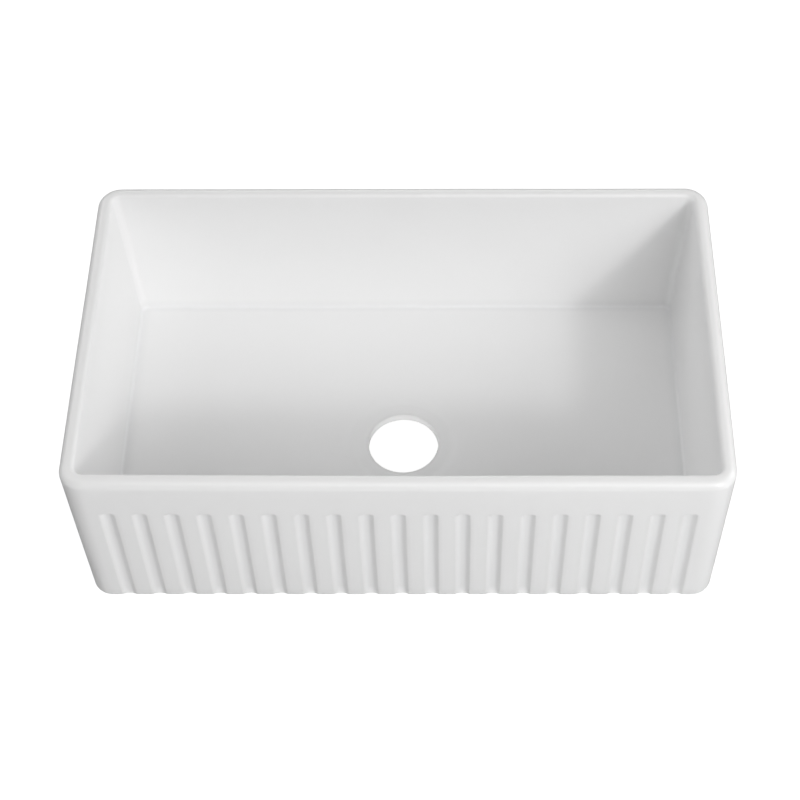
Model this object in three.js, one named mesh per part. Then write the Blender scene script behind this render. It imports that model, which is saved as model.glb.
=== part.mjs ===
// Farmhouse (apron front) kitchen sink, single bowl, with a fluted apron.
//
// The sink is slip cast in one piece in fireclay, glazed and fired, so it is one solid. Its skin
// is lofted through a chain of outlines: from the foot up the outside walls, over the rounded
// rim, down the bowl, across the falling floor to the drain seat, through the throat, and along
// the raised underside back to the foot. The front side of the outer outlines carries the
// flutes, which fade out below a plain band and run out at the foot.
//
// Millimetres, +Z up, +Y to the back. The origin is the middle of the footprint, on the floor.

import * as THREE from 'three';

// ---- Driving dimensions ---------------------------------------------------------------------

// Outside
const width = 762; // left to right, at the rim
const depth = 451; // apron to back, at the rim
const height = 248; // foot to rim
const draft = 3.5; // how far each outer wall leans in from the rim down to the foot
const footRadius = 4; // rounded edge round the foot

// Wall and rim
const wall = 18; // wall thickness just under the rim
const rimLand = 1.5; // level top between the two rounds of the rim
const rimInnerRadius = 5.5; // the outer round takes what is left of the wall

// Bowl
const bowlCornerRadius = 10.5; // upright inner corners at the rim, seen from above
const bowlTaper = 9.5; // how far each bowl wall leans in from the rim down to the cove
const coveRadius = 4; // between the walls and the floor
const floorCornerRadius = 6; // corners of the floor inside the cove
const floorLevel = 40; // foot to floor, where the floor meets the cove
const floorFall = 4.5; // drop of the floor from the cove to the drain

// Underside: the walls stand down past it and carry the sink on a foot all round
const floorThickness = 20; // floor to underside, where the floor meets the cove
const footWidth = 18; // from the foot's outside to its inside, at the flutes' lands
const footInnerRadius = 3;
const undersideCove = 4; // between the inside of the foot and the underside

// Drain, for a basket strainer
const drainDiameter = 88; // bore of the throat
const drainForward = 19.5; // from the middle of the sink towards the apron
const seatWidth = 12.5; // level ring round the bore, which a 114 mm strainer flange seats on
const seatDepth = 2; // how far the seat lies below the floor
const seatBlend = 14; // soft step from the floor down to the seat
const drainEdge = 1.5; // softened upper edge of the bore
const drainLowerEdge = 4; // rounded lower edge of the bore

// Flutes in the apron
const fluteCount = 19;
const fluteWidth = 19.5;
const fluteDepth = 4.2;
const fluteRounding = 1.45; // above 1, the sides are steeper and the bottom is flatter
const fluteEndMargin = 10.5; // plain apron from each upright corner round to the nearest flute
const plainBand = 58; // rim to the top ends of the flutes
const fluteRunOut = 7; // height over which the top ends fade into the apron
const fluteFootShare = 0.25; // share of their depth that the flutes keep at the face of the foot

// ---- Smoothness -----------------------------------------------------------------------------

const cornerSteps = 6; // each upright corner
const longSideSteps = 8; // front and back of the bowl
const shortSideSteps = 4; // left and right of the bowl
const fluteSteps = 8; // across one flute
const rimSteps = 5; // each round of the rim
const coveSteps = 3;
const footSteps = 3;
const edgeSteps = 3; // lower edge of the bore, inner edge and cove of the foot
const blendSteps = 4;

// ---- Sizes that follow ----------------------------------------------------------------------

const cornerRadius = bowlCornerRadius + wall; // keeps the wall even round the corners
const rimOuterRadius = wall - rimLand - rimInnerRadius;
const flutePitch =
  (width - 2 * (cornerRadius + fluteEndMargin) - fluteWidth) / (fluteCount - 1);
const fluteTop = height - plainBand;
const rimFoot = height - rimOuterRadius; // where the outer round meets the upright wall
const coveTop = floorLevel + coveRadius;
const dishLevel = floorLevel - floorFall; // the floor at the soft step
const seatLevel = dishLevel - seatDepth;
const drainRadius = drainDiameter / 2;
const seatRadius = drainRadius + drainEdge + seatWidth;
const underside = floorLevel - floorThickness;
const footInset = draft + footWidth; // inside of the foot, from the outside of the rim

// ---- Skin: rings of shared vertices, joined into one closed surface -------------------------

const positions = [];
const triangles = [];

// Adds one ring of [x, y] points at one height and gives back its vertex numbers.
function ring(points, z) {
  return points.map(([x, y]) => positions.push(x, y, z) / 3 - 1);
}

// Joins two rings with the same number of points, the second further along the skin.
function bridge(from, to) {
  from.forEach((a, i) => {
    const next = (i + 1) % from.length;
    triangles.push(a, from[next], to[next], a, to[next], to[i]);
  });
}

// Closes the level ring-shaped face between an outer and an inner ring, facing up or down.
function levelFace(outer, inner, facesUp) {
  const corner = (v) => new THREE.Vector2(positions[3 * v], positions[3 * v + 1]);
  const vertices = [...outer, ...inner];
  const cut = THREE.ShapeUtils.triangulateShape(outer.map(corner), [inner.map(corner)]);
  for (const face of cut) {
    const [a, b, c] = face.map((i) => vertices[i]);
    const up = THREE.ShapeUtils.area([a, b, c].map(corner)) > 0;
    if (up === facesUp) triangles.push(a, b, c);
    else triangles.push(a, c, b);
  }
}

// ---- Outlines, anticlockwise seen from above, from the left end of the front side -----------

// How far an outline lies behind the front of the sink across one flute, u = -1 to 1.
const fluteProfile = (u) =>
  (fluteDepth * (1 + Math.cos(Math.PI * Math.abs(u) ** fluteRounding))) / 2;

// Evenly spaced points from one corner's end to the next corner's start, without either.
function plainSide(steps) {
  return (x0, y0, x1, y1) =>
    Array.from({ length: steps - 1 }, (_, i) => {
      const t = (i + 1) / steps;
      return [x0 + (x1 - x0) * t, y0 + (y1 - y0) * t];
    });
}

// The apron's side of an outline: a row of flutes with level lands between them.
function flutedSide(strength) {
  return (x0, y0) => {
    const side = [];
    for (let i = 0; i < fluteCount; i++) {
      const middle = (i - (fluteCount - 1) / 2) * flutePitch;
      for (let j = 0; j <= fluteSteps; j++) {
        const u = (2 * j) / fluteSteps - 1;
        side.push([middle + (u * fluteWidth) / 2, y0 + strength * fluteProfile(u)]);
      }
    }
    return side;
  };
}

// The sink's plan drawn in by an inset, with round corners and the given four sides.
function outline(inset, radius, front, side, back = front) {
  const x = width / 2 - inset - radius;
  const y = depth / 2 - inset - radius;
  const points = [];
  const corners = [
    { at: [x, -y], from: -90, side: front },
    { at: [x, y], from: 0, side },
    { at: [-x, y], from: 90, side: back },
    { at: [-x, -y], from: 180, side },
  ];
  let last = [-x, -y - radius];
  points.push(last);
  for (const { at, from, side: run } of corners) {
    const arc = Array.from({ length: cornerSteps + 1 }, (_, i) => {
      const angle = THREE.MathUtils.degToRad(from + (90 * i) / cornerSteps);
      return [at[0] + radius * Math.cos(angle), at[1] + radius * Math.sin(angle)];
    });
    points.push(...run(...last, ...arc[0]), ...arc);
    last = arc[cornerSteps];
  }
  points.pop(); // the last corner ends where the outline starts
  return points;
}

// The outside of the sink; strength is how much of the flutes' depth shows, 0 to 1.
const outside = (inset, strength) =>
  outline(inset, cornerRadius - inset, flutedSide(strength), plainSide(1), plainSide(1));

// The inside of the bowl, at an inset from the outside of the rim.
const inside = (inset, radius) =>
  outline(inset, radius, plainSide(longSideSteps), plainSide(shortSideSteps));

// A circle round the drain, with its points in step with those of the bowl.
function drainCircle(radius) {
  const count = 2 * (longSideSteps + shortSideSteps) + 4 * cornerSteps;
  return Array.from({ length: count }, (_, i) => {
    const angle = ((i - longSideSteps / 2) / count) * 2 * Math.PI - Math.PI / 2;
    return [radius * Math.cos(angle), radius * Math.sin(angle) - drainForward];
  });
}

// ---- The chain of rings ---------------------------------------------------------------------

// The outer wall's inset at a height, from its draft.
const wallInset = (z) => (draft * (rimFoot - z)) / rimFoot;

const quarter = (step, steps) => (step / steps) * (Math.PI / 2);

// Outside: foot edge, fluted wall, plain band and the outer round of the rim.
const outer = [];
for (let i = 0; i <= footSteps; i++) {
  const angle = quarter(i, footSteps);
  const z = footRadius * (1 - Math.cos(angle));
  const round = footRadius * (1 - Math.sin(angle));
  const strength = 1 - (1 - fluteFootShare) * Math.cos(angle);
  outer.push(ring(outside(wallInset(z) + round, strength), z));
}
for (const share of [0, 0.5, 1]) {
  const z = fluteTop - fluteRunOut * (1 - share);
  const strength = (1 + Math.cos(Math.PI * share)) / 2;
  outer.push(ring(outside(wallInset(z), strength), z));
}
for (let i = 0; i <= rimSteps; i++) {
  const angle = quarter(i, rimSteps);
  const z = rimFoot + rimOuterRadius * Math.sin(angle);
  outer.push(ring(outside(rimOuterRadius * (1 - Math.cos(angle)), 0), z));
}

// Inside: inner round of the rim, wall, cove, falling floor, drain seat and throat.
const inner = [];
for (let i = 0; i <= rimSteps; i++) {
  const angle = quarter(i, rimSteps);
  const inset = wall - rimInnerRadius * (1 - Math.sin(angle));
  const z = height - rimInnerRadius * (1 - Math.cos(angle));
  inner.push(ring(inside(inset, bowlCornerRadius + wall - inset), z));
}
for (let i = 0; i <= coveSteps; i++) {
  const angle = quarter(i, coveSteps);
  const drawnIn = coveRadius * (1 - Math.cos(angle));
  const z = coveTop - coveRadius * Math.sin(angle);
  const radius = floorCornerRadius + coveRadius - drawnIn;
  inner.push(ring(inside(wall + bowlTaper + drawnIn, radius), z));
}
for (let i = 0; i <= blendSteps; i++) {
  const share = i / blendSteps;
  const z = seatLevel + (seatDepth * (1 + Math.cos(Math.PI * share))) / 2;
  inner.push(ring(drainCircle(seatRadius + seatBlend * (1 - share)), z));
}
inner.push(ring(drainCircle(drainRadius + drainEdge), seatLevel));
inner.push(ring(drainCircle(drainRadius), seatLevel - drainEdge));

// Underside: lower edge of the bore, level face, cove, inside of the foot and its edge.
for (let i = 0; i <= edgeSteps; i++) {
  const angle = quarter(i, edgeSteps);
  const z = underside + drainLowerEdge * (1 - Math.sin(angle));
  inner.push(ring(drainCircle(drainRadius + drainLowerEdge * (1 - Math.cos(angle))), z));
}
for (let i = 0; i <= edgeSteps; i++) {
  const angle = quarter(i, edgeSteps);
  const inset = footInset + undersideCove * (1 - Math.sin(angle));
  const z = underside - undersideCove * (1 - Math.cos(angle));
  inner.push(ring(inside(inset, cornerRadius - inset), z));
}
for (let i = 0; i <= edgeSteps; i++) {
  const angle = quarter(i, edgeSteps);
  const inset = footInset - footInnerRadius * (1 - Math.cos(angle));
  const z = footInnerRadius * (1 - Math.sin(angle));
  inner.push(ring(inside(inset, cornerRadius - inset), z));
}

for (const chain of [outer, inner]) {
  for (let i = 1; i < chain.length; i++) bridge(chain[i - 1], chain[i]);
}
levelFace(outer.at(-1), inner[0], true); // top of the rim
levelFace(outer[0], inner.at(-1), false); // foot

// ---- The sink -------------------------------------------------------------------------------

const geometry = new THREE.BufferGeometry();
geometry.setAttribute('position', new THREE.Float32BufferAttribute(positions, 3));
geometry.setIndex(triangles);
geometry.computeVertexNormals();

const glaze = new THREE.MeshStandardMaterial({ color: 0xf3f3f1, roughness: 0.15, metalness: 0 });

const sinkBody = new THREE.Mesh(geometry, glaze);
sinkBody.name = 'sink_body';

const sink = new THREE.Group();
sink.add(sinkBody);

export default sink;
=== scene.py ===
"""White fireclay farmhouse sink with a fluted apron, in soft studio light.

The sink is one glazed casting, so one modelled mesh stands for it. Its skin is lofted through a
chain of outlines: foot, fluted outside wall, rounded rim, bowl, falling floor, drain seat,
throat and the raised underside. Metres, +Z up, +Y to the back, with the origin on the floor
under the middle of the sink.
"""

import math

import bmesh
import bpy
from mathutils import Matrix, Vector, noise


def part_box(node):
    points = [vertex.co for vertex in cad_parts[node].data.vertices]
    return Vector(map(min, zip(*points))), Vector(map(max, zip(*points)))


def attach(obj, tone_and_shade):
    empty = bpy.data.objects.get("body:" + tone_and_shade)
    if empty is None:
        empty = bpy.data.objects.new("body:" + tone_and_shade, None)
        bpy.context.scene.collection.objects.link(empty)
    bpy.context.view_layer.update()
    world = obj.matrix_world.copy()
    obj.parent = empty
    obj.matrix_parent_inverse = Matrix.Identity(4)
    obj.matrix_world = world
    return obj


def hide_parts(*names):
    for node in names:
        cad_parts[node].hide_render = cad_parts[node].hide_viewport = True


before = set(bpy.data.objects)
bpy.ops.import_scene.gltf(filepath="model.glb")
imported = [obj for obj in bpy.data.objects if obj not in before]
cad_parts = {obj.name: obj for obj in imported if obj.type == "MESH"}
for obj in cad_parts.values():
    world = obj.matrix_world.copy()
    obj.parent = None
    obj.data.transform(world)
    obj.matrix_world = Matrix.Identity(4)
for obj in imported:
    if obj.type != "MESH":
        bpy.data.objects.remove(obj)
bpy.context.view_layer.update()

# ---- Sizes of the sink -----------------------------------------------------------------------

low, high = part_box("sink_body")
WIDTH, DEPTH, HEIGHT = high - low

DRAFT = 0.0035  # lean of each outer wall, from the rim down to the foot
FOOT_RADIUS = 0.004
WALL = 0.018
RIM_LAND = 0.0015
RIM_INNER_RADIUS = 0.0055
RIM_OUTER_RADIUS = WALL - RIM_LAND - RIM_INNER_RADIUS
RIM_FOOT = HEIGHT - RIM_OUTER_RADIUS

BOWL_CORNER_RADIUS = 0.0105
CORNER_RADIUS = BOWL_CORNER_RADIUS + WALL
BOWL_TAPER = 0.0095
COVE_RADIUS = 0.004
FLOOR_CORNER_RADIUS = 0.006
FLOOR_LEVEL = 0.040
FLOOR_FALL = 0.0045
DISH_LEVEL = FLOOR_LEVEL - FLOOR_FALL

UNDERSIDE = FLOOR_LEVEL - 0.020
FOOT_INSET = DRAFT + 0.018
FOOT_INNER_RADIUS = 0.003
UNDERSIDE_COVE = 0.004

DRAIN_RADIUS = 0.044
DRAIN_FORWARD = 0.0195
DRAIN_EDGE = 0.0015
DRAIN_LOWER_EDGE = 0.004
SEAT_RADIUS = DRAIN_RADIUS + DRAIN_EDGE + 0.0125
SEAT_BLEND = 0.014
SEAT_LEVEL = DISH_LEVEL - 0.002

FLUTE_COUNT = 19
FLUTE_WIDTH = 0.0195
FLUTE_DEPTH = 0.0042
FLUTE_ROUNDING = 1.45  # above 1, the walls are steeper and the bottom is flatter
FLUTE_END_MARGIN = 0.0105
FLUTE_TOP = HEIGHT - 0.058
FLUTE_RUN_OUT = 0.007
FLUTE_FOOT_SHARE = 0.25  # of their depth, at the face of the foot
FLUTE_PITCH = (WIDTH - 2 * (CORNER_RADIUS + FLUTE_END_MARGIN) - FLUTE_WIDTH) / (FLUTE_COUNT - 1)

# How the firing leaves a casting a little out of true.
RIPPLE = 0.00035  # height of the slow waves in the walls
RIPPLE_LENGTH = 0.16
RIPPLE_RISE = 0.04  # height over which the waves grow, because the foot is ground flat
RIPPLE_SEED = 1  # without a seed, the waves would differ from run to run
RIM_SAG = 0.0025  # dip of the front rim, right of its middle
SAG_RIGHT = 0.10  # from the sink's middle to the dip's
SAG_REACH = 0.42  # to each side of its own middle
SAG_FORWARD = 0.10  # from the sink's middle to where the dip starts
SAG_FADE = 0.10  # from there to where it is full
SAG_FOOT = 0.10  # height at which it starts

# Steps of the mesh
CORNER_STEPS = 16
LONG_STEPS = 56
SHORT_STEPS = 32
FLUTE_STEPS = 20
LAND_STEPS = 4
ROUND_STEPS = 12
WALL_STEP = 0.012
DRAIN_STEP = 0.003
FLOOR_STEP = 0.04  # share of the way from the cove to the drain
UNDERSIDE_STEP = 0.1  # share of the way from the drain to the foot

# Relief of the glaze, which sets its colour: -1 on a crest, where the glaze runs thin and the
# colour is darker, partly as painted shade that dims highlights, 1 in a hollow, darker as painted
# shade, and 0 on a plain face, where it is lightest.
# The soft crest darkens the foot's edge and the throat's lower edge, and the drain's crest the
# drain's edge, as painted shade; the full hollow darkens the cove as painted shade; the soft hollow
# lies on the bare underside, whose colour does not read it.
SOFT_CREST = -0.5
DRAIN_SHADE_CREST = -0.8
SOFT_HOLLOW = 0.5
HOLLOW = 1.0


# ---- Outlines, anticlockwise from the left end of the front side: x, y and glaze relief --------


def straight(steps):
    """A plain side of an outline, without its end points."""

    def side(start, end):
        return [(*start.lerp(end, i / steps), 0.0) for i in range(1, steps)]

    return side


def fluted(strength):
    """The apron's side of an outline, with its flutes at a share of their depth."""

    def side(start, end):
        points = []

        def land(x_from, x_to):
            for i in range(1, LAND_STEPS):
                points.append((x_from + (x_to - x_from) * i / LAND_STEPS, start.y, 0.0))

        edge = start.x
        for n in range(FLUTE_COUNT):
            middle = (n - (FLUTE_COUNT - 1) / 2) * FLUTE_PITCH
            land(edge, middle - FLUTE_WIDTH / 2)
            # Each flute's bottom takes half the hollow tone and its edges half the crest tone:
            # painted shade in the flutes, on the edges also thin glaze.
            for i in range(FLUTE_STEPS + 1):
                u = 2 * i / FLUTE_STEPS - 1
                wave = math.cos(math.pi * abs(u) ** FLUTE_ROUNDING)
                cut = FLUTE_DEPTH * (1 + wave) / 2
                x, y = middle + u * FLUTE_WIDTH / 2, start.y + strength * cut
                points.append((x, y, strength * wave / 2))
            edge = middle + FLUTE_WIDTH / 2
        land(edge, end.x)
        return points

    return side


def outline(inset, radius, front, side, back):
    """The sink's plan drawn in by an inset, with round corners and the given sides."""
    x, y = WIDTH / 2 - inset - radius, DEPTH / 2 - inset - radius
    last = Vector((-x, -y - radius))
    points = [(*last, 0.0)]
    corners = ((x, -y, -90, front), (x, y, 0, side), (-x, y, 90, back), (-x, -y, 180, side))
    for cx, cy, turn, run in corners:
        arc = []
        for i in range(CORNER_STEPS + 1):
            angle = math.radians(turn + 90 * i / CORNER_STEPS)
            arc.append(Vector((cx + radius * math.cos(angle), cy + radius * math.sin(angle))))
        points += run(last, arc[0]) + [(*p, 0.0) for p in arc]
        last = arc[-1]
    return points[:-1]


def outside(inset, strength=0.0):
    radius = CORNER_RADIUS - inset
    return outline(inset, radius, fluted(strength), straight(SHORT_STEPS), straight(LONG_STEPS))


def inside(inset, radius):
    plain = straight(LONG_STEPS)
    return outline(inset, radius, plain, straight(SHORT_STEPS), plain)


def drain_circle(radius):
    """A circle round the drain, with its points in step with those of the bowl."""
    count = 2 * (LONG_STEPS + SHORT_STEPS) + 4 * CORNER_STEPS
    points = []
    for i in range(count):
        angle = (i - LONG_STEPS / 2) / count * math.tau - math.pi / 2
        points.append((radius * math.cos(angle), radius * math.sin(angle) - DRAIN_FORWARD, 0.0))
    return points


def blend(a, b, share):
    return [tuple(p + (q - p) * share for p, q in zip(m, n)) for m, n in zip(a, b)]


# ---- The chain of outlines: points, height and relief of each ring -----------------------------


def quarter_turn():
    """Cosine and sine from 0 to 90 degrees."""
    for i in range(ROUND_STEPS + 1):
        angle = math.pi / 2 * i / ROUND_STEPS
        yield math.cos(angle), math.sin(angle)


def levels(start, end, step):
    """Heights between two others, without them."""
    count = max(2, round(abs(end - start) / step))
    return [start + (end - start) * i / count for i in range(1, count)]


def wall_inset(z):
    return DRAFT * (RIM_FOOT - z) / RIM_FOOT


def outer_rings():
    """Foot edge, fluted wall, plain band and the outer round of the rim."""
    # The foot's rounded edge is darkened with half the crest tone, painted shade along the foot.
    for cos, sin in quarter_turn():
        z = FOOT_RADIUS * (1 - cos)
        strength = 1 - (1 - FLUTE_FOOT_SHARE) * cos
        yield outside(wall_inset(z) + FOOT_RADIUS * (1 - sin), strength), z, SOFT_CREST
    fade_from = FLUTE_TOP - FLUTE_RUN_OUT
    for z in levels(FOOT_RADIUS, fade_from, WALL_STEP):
        yield outside(wall_inset(z), 1.0), z, 0.0
    for i in range(ROUND_STEPS + 1):
        share = i / ROUND_STEPS
        z = fade_from + FLUTE_RUN_OUT * share
        yield outside(wall_inset(z), (1 + math.cos(math.pi * share)) / 2), z, 0.0
    for z in levels(FLUTE_TOP, RIM_FOOT, WALL_STEP):
        yield outside(wall_inset(z)), z, 0.0
    # The rim's outer round darkens toward its top with the crest tone: thin glaze, and painted
    # shade that dims the rim's highlight.
    for cos, sin in quarter_turn():
        yield outside(RIM_OUTER_RADIUS * (1 - cos)), RIM_FOOT + RIM_OUTER_RADIUS * sin, -sin


def inner_rings():
    """Inner round of the rim, bowl wall, cove, falling floor, drain seat and throat."""
    # The rim's inner round darkens toward its top with the crest tone: thin glaze, and painted
    # shade that dims the rim's highlight.
    for cos, sin in quarter_turn():
        inset = WALL - RIM_INNER_RADIUS * (1 - sin)
        z = HEIGHT - RIM_INNER_RADIUS * (1 - cos)
        yield inside(inset, CORNER_RADIUS - inset), z, -cos
    wall_top, cove_top = HEIGHT - RIM_INNER_RADIUS, FLOOR_LEVEL + COVE_RADIUS
    cove_corner = FLOOR_CORNER_RADIUS + COVE_RADIUS
    for z in levels(wall_top, cove_top, WALL_STEP):
        share = (wall_top - z) / (wall_top - cove_top)
        radius = BOWL_CORNER_RADIUS + (cove_corner - BOWL_CORNER_RADIUS) * share
        yield inside(WALL + BOWL_TAPER * share, radius), z, 0.0
    # The cove takes the full hollow tone, painted shade in the crease between wall and floor.
    for cos, sin in quarter_turn():
        drawn_in = COVE_RADIUS * (1 - cos)
        floor_edge = inside(WALL + BOWL_TAPER + drawn_in, cove_corner - drawn_in)
        yield floor_edge, cove_top - COVE_RADIUS * sin, HOLLOW
    dish_edge = drain_circle(SEAT_RADIUS + SEAT_BLEND)
    for share in levels(0.0, 1.0, FLOOR_STEP):
        z = FLOOR_LEVEL - FLOOR_FALL * share
        yield blend(floor_edge, dish_edge, share), z, 0.0
    for i in range(ROUND_STEPS + 1):
        share = i / ROUND_STEPS
        wave = math.cos(math.pi * share)
        z = SEAT_LEVEL + (DISH_LEVEL - SEAT_LEVEL) * (1 + wave) / 2
        yield drain_circle(SEAT_RADIUS + SEAT_BLEND * (1 - share)), z, 0.0
    for radius in levels(SEAT_RADIUS, DRAIN_RADIUS + DRAIN_EDGE, DRAIN_STEP):
        yield drain_circle(radius), SEAT_LEVEL, 0.0
    # The drain's edge is darkened with most of the crest tone, a painted dark line round the hole.
    for cos, sin in quarter_turn():
        radius = DRAIN_RADIUS + DRAIN_EDGE * (1 - sin)
        yield drain_circle(radius), SEAT_LEVEL - DRAIN_EDGE * (1 - cos), DRAIN_SHADE_CREST
    for z in levels(SEAT_LEVEL - DRAIN_EDGE, UNDERSIDE + DRAIN_LOWER_EDGE, DRAIN_STEP):
        yield drain_circle(DRAIN_RADIUS), z, 0.0


def lower_edge_rings():
    """Lower edge of the throat, down to the underside."""
    # The throat's lower edge takes half the crest tone, painted shade.
    for cos, sin in quarter_turn():
        radius = DRAIN_RADIUS + DRAIN_LOWER_EDGE * (1 - cos)
        yield drain_circle(radius), UNDERSIDE + DRAIN_LOWER_EDGE * (1 - sin), SOFT_CREST


def under_rings():
    """Level underside, cove, and the inside of the foot."""
    inset = FOOT_INSET + UNDERSIDE_COVE
    under_edge = inside(inset, CORNER_RADIUS - inset)
    throat_edge = drain_circle(DRAIN_RADIUS + DRAIN_LOWER_EDGE)
    for share in levels(0.0, 1.0, UNDERSIDE_STEP):
        yield blend(throat_edge, under_edge, share), UNDERSIDE, 0.0
    for cos, sin in quarter_turn():
        inset = FOOT_INSET + UNDERSIDE_COVE * (1 - sin)
        z = UNDERSIDE - UNDERSIDE_COVE * (1 - cos)
        yield inside(inset, CORNER_RADIUS - inset), z, SOFT_HOLLOW
    for cos, sin in quarter_turn():
        inset = FOOT_INSET - FOOT_INNER_RADIUS * (1 - cos)
        z = FOOT_INNER_RADIUS * (1 - sin)
        yield inside(inset, CORNER_RADIUS - inset), z, SOFT_CREST


# ---- Building the mesh -------------------------------------------------------------------------


def fired(point):
    """Where a point of the mould's form lies after firing: slow ripples and a sagging front rim."""
    x, y, z = point
    rise = min(1.0, z / RIPPLE_RISE)
    sway = noise.noise_vector(point / RIPPLE_LENGTH) * RIPPLE * rise
    along = max(0.0, 1 - ((x - SAG_RIGHT) / SAG_REACH) ** 2)
    near_front = min(1.0, max(0.0, (-y - SAG_FORWARD) / SAG_FADE))
    near_rim = max(0.0, (z - SAG_FOOT) / (HEIGHT - SAG_FOOT))
    sag = RIM_SAG * along * near_front * near_rim
    moved = point + sway - Vector((0, 0, sag))
    return Vector(min(max(c, a), b) for c, a, b in zip(moved, low, high))


GLAZED, BARE = 0, 1  # material slots


def loft_sink():
    mesh = bmesh.new()
    relief = mesh.verts.layers.float.new("relief")

    def chain(rings, last=None, material=GLAZED):
        made = [last] if last else []
        for points, z, ring_relief in rings:
            ring = []
            for x, y, point_relief in points:
                vert = mesh.verts.new((x, y, z))
                vert[relief] = max(-1.0, min(1.0, ring_relief + point_relief))
                ring.append(vert)
            if made:
                last = made[-1]
                for i, vert in enumerate(ring):
                    face = mesh.faces.new((last[i - 1], last[i], vert, ring[i - 1]))
                    face.material_index = material
            made.append(ring)
        return made[0], made[-1]

    def level_face(*rings, facing, material=GLAZED):
        edges = [mesh.edges.get((r[i - 1], r[i])) for r in rings for i in range(len(r))]
        filled = bmesh.ops.triangle_fill(mesh, edges=edges, use_beauty=True, normal=facing)
        for face in filled["geom"]:
            if isinstance(face, bmesh.types.BMFace):
                face.material_index = material

    foot_outside, rim_outside = chain(outer_rings())
    rim_inside, throat = chain(inner_rings())
    throat_edge = chain(lower_edge_rings(), throat)[1]
    foot_inside = chain(under_rings(), throat_edge, BARE)[1]
    level_face(rim_outside, rim_inside, facing=(0, 0, 1))
    level_face(foot_outside, foot_inside, facing=(0, 0, -1), material=BARE)
    noise.seed_set(RIPPLE_SEED)
    for vert in mesh.verts:
        vert.co = fired(vert.co)
    bmesh.ops.recalc_face_normals(mesh, faces=mesh.faces)
    for face in mesh.faces:
        face.smooth = True
    data = bpy.data.meshes.new("sink")
    mesh.to_mesh(data)
    mesh.free()
    return data


# ---- Materials ---------------------------------------------------------------------------------


class Nodes:
    """A small helper that adds nodes to a material and joins their sockets."""

    def __init__(self, name):
        self.material = bpy.data.materials.new(name)
        self.material.use_nodes = True
        self.tree = self.material.node_tree
        self.shader = self.tree.nodes["Principled BSDF"]

    def add(self, kind, **inputs):
        node = self.tree.nodes.new(kind)
        for name, value in inputs.items():
            self.set(node, name.replace("_", " "), value)
        return node

    def set(self, node, name, value):
        socket = node.inputs[name]
        if isinstance(value, bpy.types.NodeSocket):
            self.tree.links.new(value, socket)
        else:
            socket.default_value = value

    def noise(self, scale, detail=2.0):
        coords = self.add("ShaderNodeTexCoord")
        made = self.add("ShaderNodeTexNoise", Scale=scale, Detail=detail)
        self.set(made, "Vector", coords.outputs["Object"])
        return made.outputs["Fac"]

    def ramp(self, value, stops):
        made = self.add("ShaderNodeValToRGB", Fac=value)
        elements = made.color_ramp.elements
        while len(elements) < len(stops):
            elements.new(0.5)
        for element, (position, color) in zip(elements, stops):
            element.position = position
            element.color = (*color, 1.0)
        return made.outputs["Color"]

    def remap(self, value, low_from, high_from, low_to, high_to):
        made = self.add("ShaderNodeMapRange", Value=value)
        self.set(made, "From Min", low_from)
        self.set(made, "From Max", high_from)
        self.set(made, "To Min", low_to)
        self.set(made, "To Max", high_to)
        return made.outputs["Result"]

    def bump(self, height, distance, under=None):
        made = self.add("ShaderNodeBump", Height=height, Distance=distance)
        if under is not None:
            self.set(made, "Normal", under)
        return made.outputs["Normal"]


# The crest and hollow tones are darker than the plain one: painted shade on crests and in hollows,
# on crests also thin glaze.
THIN_GLAZE_AND_SHADE = (0.815, 0.814, 0.811)
PLAIN_GLAZE = (0.865, 0.865, 0.865)
HOLLOW_SHADE = (0.834, 0.836, 0.838)


def white_glaze():
    """Opaque white gloss, darker and warmer on crests, as thin glaze and painted shade that dims
    highlights, and darker and cooler in hollows, as painted shade.
    """
    n = Nodes("white_glaze")
    relief = n.add("ShaderNodeAttribute")
    relief.attribute_name = "relief"
    tone_and_shade = n.ramp(
        n.remap(relief.outputs["Fac"], -1.0, 1.0, 0.0, 1.0),
        [(0.0, THIN_GLAZE_AND_SHADE), (0.5, PLAIN_GLAZE), (1.0, HOLLOW_SHADE)],
    )
    n.set(n.shader, "Base Color", tone_and_shade)
    n.set(n.shader, "Roughness", n.remap(n.noise(9.0), 0.3, 0.7, 0.30, 0.36))
    n.set(n.shader, "IOR", 1.5)
    n.set(n.shader, "Coat Weight", 0.2)
    n.set(n.shader, "Coat Roughness", 0.16)
    n.set(n.shader, "Normal", n.bump(n.noise(110.0), 0.00002))
    return n.material


def bare_fireclay():
    """The ground foot, where the fired clay shows: fine, dry and slightly buff."""
    n = Nodes("bare_fireclay")
    grain = n.noise(900.0, 4.0)
    tone = n.ramp(grain, [(0.35, (0.62, 0.58, 0.51)), (0.65, (0.72, 0.68, 0.61))])
    n.set(n.shader, "Base Color", tone)
    n.set(n.shader, "Roughness", 0.85)
    n.set(n.shader, "Normal", n.bump(grain, 0.0002))
    return n.material


def studio_floor(name, tone, glow):
    n = Nodes(name)
    n.set(n.shader, "Base Color", (tone, tone, tone, 1.0))
    n.set(n.shader, "Roughness", 0.9)
    n.set(n.shader, "Emission Color", (1.0, 1.0, 1.0, 1.0))
    n.set(n.shader, "Emission Strength", glow)
    return n.material


# ---- Studio ------------------------------------------------------------------------------------

ROOM_REACH = 6.0  # from the middle of the floor to each wall
ROOM_HEIGHT = 8.0
PATCH_REACH = 0.15  # of the lit patch under the drain
SHOWN_LEVEL = -0.0004  # the floors lie just under the foot, one above the other
BOUNCE_LEVEL = -0.0002
PATCH_LEVEL = -0.0001

FLOOR_TONE = 0.2
FLOOR_GLOW = 1.0  # radiance of the room that shows and of the patch
BOUNCE = 0.8  # share of the light on the unseen floor that comes back up
SKY = 0.11  # radiance of the sky that lights the sink

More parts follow.
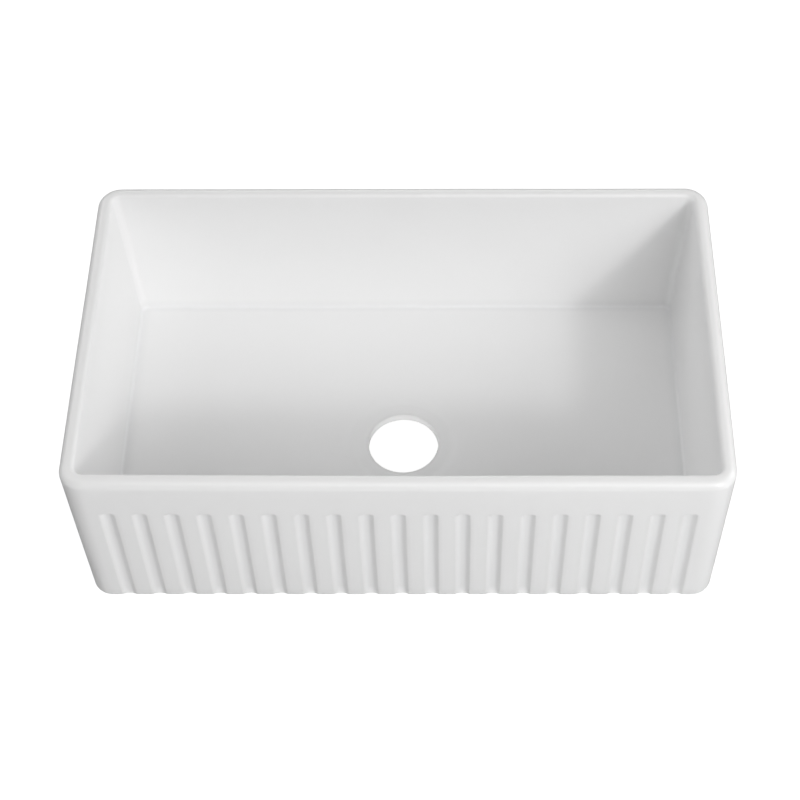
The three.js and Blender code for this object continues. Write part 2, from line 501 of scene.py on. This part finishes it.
# Soft boxes: where each stands, its width and its power in watts. All face the sink.
LIGHTS = {
    "key": (Vector((1.84, -2.74, 2.37)), 0.45, 30.0),
    "front_right": (Vector((1.84, -2.74, 2.37)), 2.4, 55.0),
    "front": (Vector((0.0, -1.6, 2.4)), 1.6, 15.5),
    "right": (Vector((2.3, 0.3, 1.2)), 1.6, 18.5),
    "left": (Vector((-2.3, 0.5, 1.2)), 1.6, 10.5),
    "left_high": (Vector((-1.8, 0.0, 2.2)), 1.4, 7.5),
    "right_back": (Vector((1.7, 1.6, 1.4)), 1.2, 3.5),
    "left_back": (Vector((-1.7, 1.6, 1.4)), 1.2, 6.5),
    "back": (Vector((0.0, 2.4, 1.2)), 1.6, 11.5),
}

# Camera: its place and turns fit the photograph's outline of the sink.
CAMERA_AT = Vector((0.05772, -1.33345, 1.93574))
CAMERA_PITCH = 54.003  # degrees below the horizon
CAMERA_YAW = -0.903  # degrees to the right of straight ahead
CAMERA_ROLL = -0.778
SENSOR = 36.0
FOCAL_SHARE = 1818.55 / 800  # focal length as a share of the frame's width
CROP_SHIFT = -32.04 / 800  # the photograph is cropped off the lens's axis


def add_camera():
    pitch, yaw, roll = (math.radians(a) for a in (CAMERA_PITCH, CAMERA_YAW, CAMERA_ROLL))
    ahead = Vector(
        (math.sin(yaw) * math.cos(pitch), math.cos(yaw) * math.cos(pitch), -math.sin(pitch))
    )
    level = Vector((math.cos(yaw), -math.sin(yaw), 0))
    upright = level.cross(ahead)
    right = level * math.cos(roll) + upright * math.sin(roll)
    up = upright * math.cos(roll) - level * math.sin(roll)
    data = bpy.data.cameras.new("camera")
    data.sensor_width = SENSOR
    data.lens = FOCAL_SHARE * SENSOR
    data.shift_x = CROP_SHIFT
    camera = bpy.data.objects.new("camera", data)
    turned = Matrix((right, up, -ahead)).transposed().to_4x4()
    camera.matrix_world = Matrix.Translation(CAMERA_AT) @ turned
    bpy.context.collection.objects.link(camera)
    bpy.context.scene.camera = camera


def add_light(name, place, width, power):
    data = bpy.data.lights.new(name, "AREA")
    data.shape = "DISK"
    data.size = width
    data.energy = power
    light = bpy.data.objects.new(name, data)
    light.location = place
    toward = Vector((0, 0, HEIGHT / 2)) - place
    light.rotation_euler = toward.to_track_quat("-Z", "Y").to_euler()
    light.visible_camera = False
    bpy.context.collection.objects.link(light)


def add_sky():
    world = bpy.data.worlds.new("studio")
    world.use_nodes = True
    background = world.node_tree.nodes["Background"].inputs
    background["Color"].default_value = (1.0, 1.0, 1.0, 1.0)
    background["Strength"].default_value = SKY
    bpy.context.scene.world = world


def add_plane(name, level, material, reach=ROOM_REACH, wall=None):
    """A level square, with a wall along each side up to the given height."""
    corners = [(-reach, -reach), (reach, -reach), (reach, reach), (-reach, reach)]
    points = [(x, y, level) for x, y in corners]
    faces = [(0, 1, 2, 3)]
    if wall:
        points += [(x, y, wall) for x, y in corners]
        faces += [(i, (i + 1) % 4, (i + 1) % 4 + 4, i + 4) for i in range(4)]
    data = bpy.data.meshes.new(name)
    data.from_pydata(points, [], faces)
    data.materials.append(material)
    plane = bpy.data.objects.new(name, data)
    bpy.context.collection.objects.link(plane)
    return plane


def add_floor():
    """The room that shows is white; unseen floors light the sink and its drain from below."""
    lit = studio_floor("lit_floor", FLOOR_TONE, FLOOR_GLOW)
    shown = add_plane("floor", SHOWN_LEVEL, lit, wall=ROOM_HEIGHT)
    shown.visible_diffuse = False
    shown.visible_glossy = False
    shown.visible_shadow = False
    pale = studio_floor("bounce_floor", BOUNCE, 0.0)
    bounce = add_plane("bounce_floor", BOUNCE_LEVEL, pale)
    bounce.visible_camera = False
    bounce.visible_glossy = False
    bounce.visible_shadow = False
    lit_patch = studio_floor("drain_floor", FLOOR_TONE, FLOOR_GLOW)
    patch = add_plane("drain_floor", PATCH_LEVEL, lit_patch, PATCH_REACH)
    patch.visible_camera = False
    patch.visible_glossy = False


def add_sink():
    data = loft_sink()
    data.materials.append(white_glaze())
    data.materials.append(bare_fireclay())
    sink = bpy.data.objects.new("fluted_sink", data)
    bpy.context.collection.objects.link(sink)
    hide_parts("sink_body")
    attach(sink, "root")


add_camera()
add_sink()
add_floor()
for light_name, (place, width, power) in LIGHTS.items():
    add_light(light_name, place, width, power)

add_sky()
bpy.context.scene.view_settings.view_transform = "Standard"
